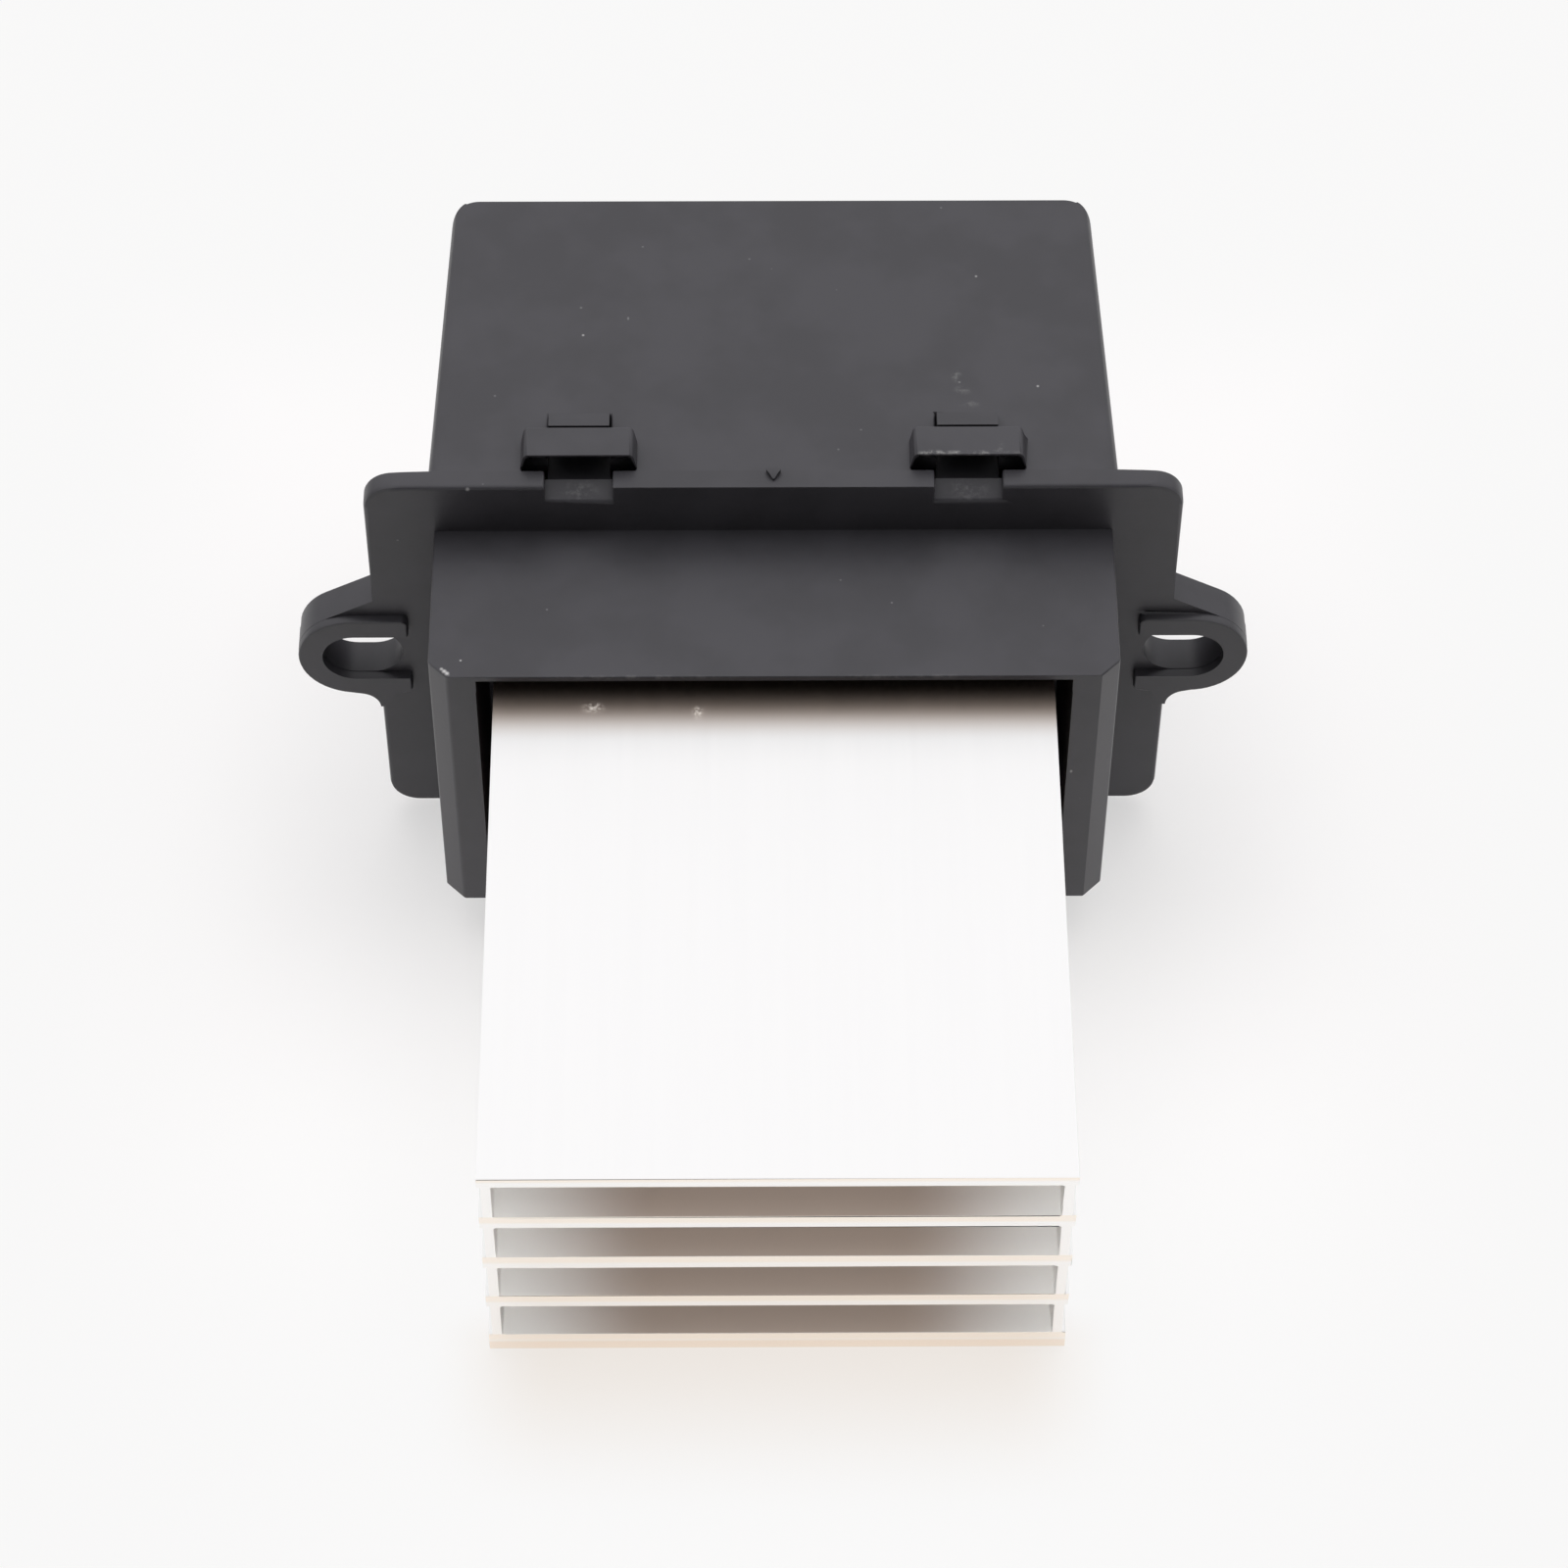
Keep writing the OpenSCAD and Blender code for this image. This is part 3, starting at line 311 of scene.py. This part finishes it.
frameEdges = {
    "width": 0.36 * mm, "segments": 2, "leastRoom": 0.25 * mm, "mostOfRoom": 0.35,
    "usual": 0.6, "collarFront": 0.25, "flange": 1.3,
    "barbX": 17.5, "barbHalf": 2.6, "barbWider": 2.74, "barbFrom": (6.7, 22),
    "ringX": 38.9, "ringR": 5.25, "ringWider": 5.285, "ringBack": 0.95, "ringArc": (-88, 62), "close": 0.02,
}
frameMarks = {
    # the two long marks on the collar's front top edge are wear and also a painted highlight that lightens the lip
    "smudgesAndSheen": [((-12, -16, 17.1), 12, (1, 0.03, 0.03), 0.25), ((12, -16, 17.1), 12, (1, 0.03, 0.03), 0.2),
                ((-17.5, 1.6, 22.2), 2.9, (1, 0.6, 0.6), 0.3), ((17.5, 1.6, 22.2), 2.9, (1, 0.6, 0.6), 0.3)],
    "chips": [((-29.45, -15.05, 17.2), 0.24, (1, 1, 1), 0.7), ((-29.2, -15.3, 17.2), 0.30, (1, 1, 1), 0.9),
              ((-28.95, -15.55, 17.2), 0.30, (1, 1, 1), 0.9), ((-28.78, -15.75, 17.1), 0.22, (1, 1, 1), 0.6),
              ((-27.79, -14.1, 17.25), 0.15, (1, 1, 1), 0.8), ((10.53, -7.64, 17.25), 0.15, (1, 1, 1), 0.25),
              ((-20.28, -8.31, 17.25), 0.15, (1, 1, 1), 0.2), ((-27.39, 0.9, 22.95), 0.28, (1, 1, 1), 0.6),
              ((26.91, -16.0, 3.28), 0.3, (0.6, 1, 1), 0.5), ((-26.15, -16.0, 0.19), 0.3, (0.6, 1, 1), 0.5)],
}


def frameFit(piece):  # barbs fill their windows, and the rings of the pads meet the ears behind them
    spec = frameEdges
    for side in (-1, 1):
        def onBarb(at):
            onSide = abs(abs(at.x - side * spec["barbX"]) - spec["barbHalf"]) < spec["close"]
            fromY, fromZ = spec["barbFrom"]
            return onSide and at.y > fromY and abs(at.z) > fromZ

        def onRing(at):
            u, w = side * at.x - spec["ringX"], at.z
            low, high = spec["ringArc"]
            isRound = abs(math.hypot(u, w) - spec["ringR"]) < spec["close"]
            return at.y < spec["ringBack"] and isRound and low < math.degrees(math.atan2(w, u)) < high

        wider = spec["barbWider"] / spec["barbHalf"]
        widened(piece, (side * spec["barbX"] * mm, 0, 0), (wider, 1, 1), onBarb)
        wider = spec["ringWider"] / spec["ringR"]
        widened(piece, (side * spec["ringX"] * mm, 0, 0), (wider, 1, wider), onRing)


def frameShare(middle, along, most):  # how round each edge of the frame is
    x, y, z = abs(middle.x), middle.y, middle.z
    inside = y > 2.8 and x < 33
    slot = abs(z) < 3.2 and abs(x - 38.2) < 3.9
    root = y > 0.5 and x < 31.2 and -16.5 < z < 17.5
    foot = y < 0.95 and 33 < x < 39.2 and -7.6 < z < -5.35
    lowSide = y < 0.8 and x > 30 and z < -15.5
    if inside or slot or root or foot or lowSide:
        return 0
    if y < -13 and abs(along.x) > 0.9:
        return frameEdges["collarFront"]
    onFlange = 0.8 < y < 1.0 and (abs(z) > 8 or x < 36)
    return min(most, frameEdges["flange"] if onFlange else frameEdges["usual"])


frameMoulding = roundedCopy("front_frame", "frameMoulding", frameEdges, frameShare, frameFit)
finish(frameMoulding, plasticMaterial("framePlastic", frameMarks, 0))

coverEdges = {"width": 0.30 * mm, "segments": 2, "leastRoom": 0.25 * mm, "mostOfRoom": 0.35, "usual": 0.8}
coverMarks = {
    "smudgesAndSheen": [((16.75, 14.33, 22.95), 0.9, (0.8, 1.2, 1), 0.3), ((17.24, 12.66, 22.95), 1.0, (1.2, 0.8, 1), 0.2),
                ((17.9, 10.99, 22.95), 0.9, (1.4, 0.7, 1), 0.2), ((17.6, 3.5, 24.85), 6.0, (1, 0.06, 0.06), 0.8),
                ((14.2, 3.5, 24.85), 1.8, (1, 0.25, 0.2), 0.8), ((20.4, 3.6, 24.85), 1.5, (0.3, 1, 0.2), 0.4)],
    "chips": [((-17.38, 19.52, 22.95), 0.18, (1, 1, 1), 0.6), ((24.12, 13.11, 22.95), 0.18, (1, 1, 1), 0.6),
              ((18.91, 26.75, 22.95), 0.18, (1, 1, 1), 0.5), ((-13.27, 21.58, 22.95), 0.2, (0.7, 1.4, 1), 0.25),
              ((-17.63, 22.94, 22.95), 0.18, (1, 1, 1), 0.2), ((17.0, 13.62, 22.95), 0.18, (1, 1, 1), 0.2),
              ((-25.26, 12.11, 22.95), 0.18, (1, 1, 1), 0.15)],
}


def coverShare(middle, along, most):  # the rim and the insides of the loops stay sharp
    x, y, z = abs(middle.x), middle.y, abs(middle.z)
    rim = y < 3.05 or 4.5 < y < 4.7
    loop = y < 4.7 and 22 < z < 23.95 and abs(x - 17.5) < 5.2
    socket = y > 25 and x < 7.3 and middle.z < -10.5
    return 0 if rim or loop or socket else min(most, coverEdges["usual"])


coverMoulding = roundedCopy("rear_cover", "coverMoulding", coverEdges, coverShare)
finish(coverMoulding, plasticMaterial("coverPlastic", coverMarks, 40))

sinkEdges = {"width": 0.10 * mm, "segments": 2, "leastRoom": 0.15 * mm, "mostOfRoom": 0.35, "usual": 1.0}


def sinkShare(middle, along, most):
    return min(most, sinkEdges["usual"])


sinkExtrusion = roundedCopy("heat_sink", "sinkExtrusion", sinkEdges, sinkShare)
finish(sinkExtrusion, aluminiumMaterial("extrudedAluminium"))

# Small parts inside and terminals: two tones, roughness, metallic, patch scale and bump of each finish
smallFinishes = {
    "board": ((0.03, 0.15, 0.05), (0.06, 0.24, 0.09), 0.35, 0, (0.4, 0.4, 0.4), 0.1),
    "blackEpoxy": ((0.012, 0.012, 0.013), (0.030, 0.030, 0.031), 0.5, 0, (3, 3, 3), 0.3),
    "siliconePad": ((0.48, 0.48, 0.46), (0.60, 0.59, 0.56), 0.7, 0, (1.5, 1.5, 1.5), 0.2),
    "zincPlate": ((0.62, 0.62, 0.60), (0.78, 0.78, 0.77), 0.3, 1, (2, 2, 2), 0.15),
    "tinPlate": ((0.66, 0.64, 0.60), (0.82, 0.80, 0.76), 0.28, 1, (6, 0.4, 6), 0.12),
    "sleeve": ((0.02, 0.035, 0.09), (0.035, 0.06, 0.14), 0.25, 0, (0.6, 0.6, 0.6), 0.1),
    "shuntAlloy": ((0.42, 0.29, 0.18), (0.56, 0.40, 0.26), 0.35, 1, (4, 4, 4), 0.15),
    "ceramic": ((0.42, 0.33, 0.22), (0.56, 0.46, 0.32), 0.6, 0, (5, 5, 5), 0.2),
    "cutoffCase": ((0.72, 0.69, 0.62), (0.84, 0.81, 0.74), 0.55, 0, (2, 2, 2), 0.2),
}
patchSpec = {"noise": (1, 3, 0.6), "span": (0.3, 0.7), "rough": 0.15, "depth": 0.00003}


def smallMaterial(name, low, high, roughness, metallic, scale, bump):
    material, start, place = newMaterial(name)
    patch = noise(stretched(place, scale), *patchSpec["noise"])
    closeMaterial(start, {
        "Base Color": mixed(span(patch, *patchSpec["span"]), colour(*low), colour(*high)), "Metallic": metallic,
        "Roughness": roughness + patchSpec["rough"] * patch, "Normal": bumped(start, patch, bump, patchSpec["depth"]),
    })
    return material


small = {name: smallMaterial(name, *values) for name, values in smallFinishes.items()}
finishOf = {
    "circuit_board": "board", "transistor_left": "blackEpoxy", "transistor_right": "blackEpoxy",
    "insulating_pad_left": "siliconePad", "insulating_pad_right": "siliconePad", "transistor_screws": "zincPlate",
    "transistor_nuts": "zincPlate", "heat_sink_screws": "zincPlate", "board_screws": "zincPlate",
    "power_blade_left": "tinPlate", "power_blade_right": "tinPlate", "signal_blade_left": "tinPlate",
    "signal_blade_right": "tinPlate", "filter_capacitor": "sleeve", "current_shunt": "shuntAlloy",
    "control_chip": "blackEpoxy", "protection_diode": "blackEpoxy", "chip_resistors": "blackEpoxy",
    "chip_capacitors": "ceramic", "thermal_cutoff": "cutoffCase",
}
for node, name in finishOf.items():
    for slot in nodes[node].material_slots:
        slot.link = "OBJECT"
        slot.material = small[name]
print("small parts finished")

# Floor under the fins' front edge and the lower loops
floorSpec = {
    "front": (-66.6, -12.95), "rear": (3.3, -24.85), "drop": 0.05, "size": 3.0,
    "grey": (0.890, 0.866, 0.857), "white": (0.935, 0.934, 0.932),
    "warmShade": (0.865, 0.815, 0.765), "warmHalf": (19, 31), "warmFrom": (61, 66), "warmAhead": (66, 85),
    "near": 0.54, "ahead": 0.92, "far": 0.92, "aheadSpan": (20, 75),
    "sideSpan": (45, 75), "middleY": -20, "alongSpan": (70, 110), "tone": (0.004, 2, 0.5), "toneShare": 0.03,
}


def floorMaterial():  # lit where shadows fall, white to the camera elsewhere
    material, start, place = newMaterial("paleFloor")
    x, y = axes(place)[:2]
    out, ahead = start.sum("ABSOLUTE", x), 0 - y
    rayNames = ("Is Camera Ray", "Is Glossy Ray", "Is Transmission Ray")
    straight, mirrored, through = (start.node("ShaderNodeLightPath", out=name) for name in rayNames)
    seen = capped(straight + mirrored + through)
    along = start.sum("ABSOLUTE", y - floorSpec["middleY"])
    away = start.sum("MAXIMUM", span(out, *floorSpec["sideSpan"]), span(along, *floorSpec["alongSpan"]))
    # painted shadow: a warm patch on the floor just in front of the fins
    warmShade = span(ahead, *floorSpec["warmFrom"]) * (1 - span(ahead, *floorSpec["warmAhead"]))
    warmShade = warmShade * (1 - span(out, *floorSpec["warmHalf"]))
    tint = mixed(warmShade, colour(*floorSpec["white"]), colour(*floorSpec["warmShade"]))
    lit = start.node("ShaderNodeBsdfDiffuse", {}, {"Color": colour(*floorSpec["grey"])})
    white = start.node("ShaderNodeEmission", {}, {"Color": tint, "Strength": 1.0})
    close = floorSpec["near"] + (floorSpec["ahead"] - floorSpec["near"]) * span(ahead, *floorSpec["aheadSpan"])
    share = close + (floorSpec["far"] - close) * away
    tone = (1 - floorSpec["toneShare"]) + floorSpec["toneShare"] * noise(place, *floorSpec["tone"])
    both = start.node("ShaderNodeMixShader", {}, {0: seen * share * tone, 1: lit, 2: white})
    start.node("ShaderNodeOutputMaterial", {}, {"Surface": both})
    return material


def makeFloor():
    (y0, z0), (y1, z1) = floorSpec["front"], floorSpec["rear"]
    tilt = Matrix.Rotation(math.atan2(z1 - z0, y1 - y0), 4, "X")
    bpy.ops.object.select_all(action="DESELECT")
    bpy.ops.mesh.primitive_plane_add(size=floorSpec["size"])
    floor = bpy.context.active_object
    floor.name = "floor"
    floor.data.transform(Matrix.Translation((0, y0 * mm, (z0 - floorSpec["drop"]) * mm)) @ tilt)
    floor.data.materials.append(floorMaterial())


makeFloor()

# Light: a white room, dim on the camera's side, one wide lamp overhead and a small fill on the fins
roomSpec = {"front": 0.045, "sky": 1.06, "tint": (0.985, 0.98, 1.0), "toward": (0, 0.57, 0.822), "sides": 0.3,
            "skySpan": (0.30, 0.92)}


def makeRoom():
    world = bpy.data.worlds.new("whiteRoom")
    world.use_nodes = True
    world.node_tree.nodes.clear()
    scene.world = world
    start = wire(world.node_tree)
    way = start.node("ShaderNodeTexCoord", out="Generated")
    toward, across = (start.node("ShaderNodeVectorMath", {"operation": "DOT_PRODUCT"}, {0: way, 1: axis}, out="Value")
                      for axis in (roomSpec["toward"], (1, 0, 0)))
    height = toward + start.sum("ABSOLUTE", across) * roomSpec["sides"]
    sky = roomSpec["front"] + (roomSpec["sky"] - roomSpec["front"]) * span(height, *roomSpec["skySpan"])
    seen = start.node("ShaderNodeLightPath", out="Is Camera Ray")
    tint = mixed(seen, colour(*roomSpec["tint"]), colour(1, 1, 1))
    room = start.node("ShaderNodeBackground", {}, {"Color": tint, "Strength": sky + (1 - sky) * seen})
    start.node("ShaderNodeOutputWorld", {}, {"Surface": room})


def hangLamp(name, kind, spec):
    lamp = bpy.data.lights.new(name, kind)
    lamp.energy = spec["power"]
    hung = bpy.data.objects.new(name, lamp)
    turned = (Vector(spec["place"]) - Vector(spec["aim"])).to_track_quat("Z", "Y").to_matrix().to_4x4()
    hung.matrix_world = Matrix.Translation(spec["place"]) @ turned
    hung.visible_glossy = False
    scene.collection.objects.link(hung)
    return lamp


makeRoom()
overheadSpec = {"place": (0, 0.28, 0.86), "aim": (0, 0, 0), "power": 4.7, "size": 0.9}
overhead = hangLamp("overhead", "AREA", overheadSpec)
overhead.shape = "SQUARE"
overhead.size = overheadSpec["size"]

fillSpec = {"place": (0, -0.436, 0.473), "aim": (0, -0.0666, 0), "power": 8.0, "angle": 8.2, "blend": 0.35, "size": 0.03}
fill = hangLamp("fill", "SPOT", fillSpec)
fill.spot_size = math.radians(fillSpec["angle"])
fill.spot_blend = fillSpec["blend"]
fill.shadow_soft_size = fillSpec["size"]

# Camera fitted to the photo's edges
cameraSpec = {
    "lens": 112.84, "sensor": 36, "elevation": 52.787, "roll": -0.301, "yaw": 0.619, "distance": 446.2,
    "target": (1.071, -17.24, 1.976), "forward": 0.9, "clip": (0.01, 20),
}


def makeCamera():
    elevation, roll, yaw = (math.radians(cameraSpec[key]) for key in ("elevation", "roll", "yaw"))
    look = Vector((0, math.cos(elevation), -math.sin(elevation)))
    lift = Vector((0, math.sin(elevation), math.cos(elevation)))
    side = Vector((1, 0, 0))
    right = math.cos(roll) * side - math.sin(roll) * lift
    up = math.sin(roll) * side + math.cos(roll) * lift
    turn = Matrix.Rotation(-yaw, 3, "Z")
    place = turn @ (Vector(cameraSpec["target"]) - cameraSpec["distance"] * look) + Vector((0, cameraSpec["forward"], 0))
    basis = Matrix([turn @ right, turn @ up, turn @ -look]).transposed()
    lens = bpy.data.cameras.new("camera")
    lens.lens = cameraSpec["lens"]
    lens.sensor_width = cameraSpec["sensor"]
    lens.clip_start, lens.clip_end = cameraSpec["clip"]
    camera = bpy.data.objects.new("camera", lens)
    camera.matrix_world = Matrix.Translation(place * mm) @ basis.to_4x4()
    scene.collection.objects.link(camera)
    scene.camera = camera


makeCamera()
print("floor, light and camera set")
